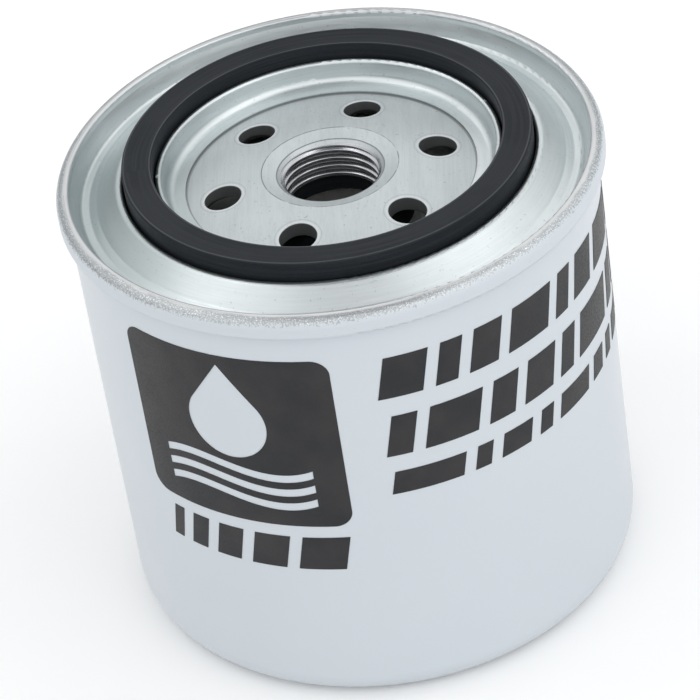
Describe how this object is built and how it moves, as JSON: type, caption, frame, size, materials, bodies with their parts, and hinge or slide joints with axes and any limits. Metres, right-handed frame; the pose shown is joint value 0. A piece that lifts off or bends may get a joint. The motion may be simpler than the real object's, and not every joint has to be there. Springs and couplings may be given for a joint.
{
  "type": "spin-on fuel water separator",
  "caption": "Spin-on fuel water separator: white steel can with a seamed lid, ring gasket, ported base plate, threaded centre and pleated element on a spring.",
  "frame": {"origin": "centre of the standing ring on the ground plane, at the can's closed end", "axes": "+Z along the can's axis towards the threaded end; the print's emblem faces between -X and -Y"},
  "size_m": [0.094, 0.094, 0.0865],
  "materials": {
    "can_paint": "gloss off-white enamel",
    "zinc_plate": "zinc plated, satin",
    "gasket_rubber": "smooth nitrile, satin",
    "spring_steel": "oiled strip",
    "print_ink": "charcoal ink, semi-gloss",
    "seal_rubber": "moulded nitrile",
    "cap_zinc": "galvanised, dull",
    "potting_compound": "cured plastisol",
    "filter_paper": "resin-set filter paper",
    "tinned_steel": "tinned strip"
  },
  "bodies": {
    "canister": {"can": "can_paint", "seaming_lid": "zinc_plate", "gasket": "gasket_rubber", "base_plate": "zinc_plate", "element_spring": "spring_steel", "emblem_print": "print_ink", "tally_print": "print_ink", "stripe_print": "print_ink"},
    "element": {"element_seal": "seal_rubber", "upper_end_cap": "cap_zinc", "upper_potting": "potting_compound", "pleated_paper": "filter_paper", "pleat_clip": "tinned_steel", "centre_tube": "tinned_steel", "lower_potting": "potting_compound", "lower_end_cap": "cap_zinc"}
  },
  "joints": [
    {"name": "element_float", "type": "slide", "parent": "canister", "child": "element", "axis": [0, 0, 1], "range_m": [-0.002, 0], "stiffness_N_per_m": 5000, "springref_m": 0.01, "deforming": ["element_spring"]}
  ]
}
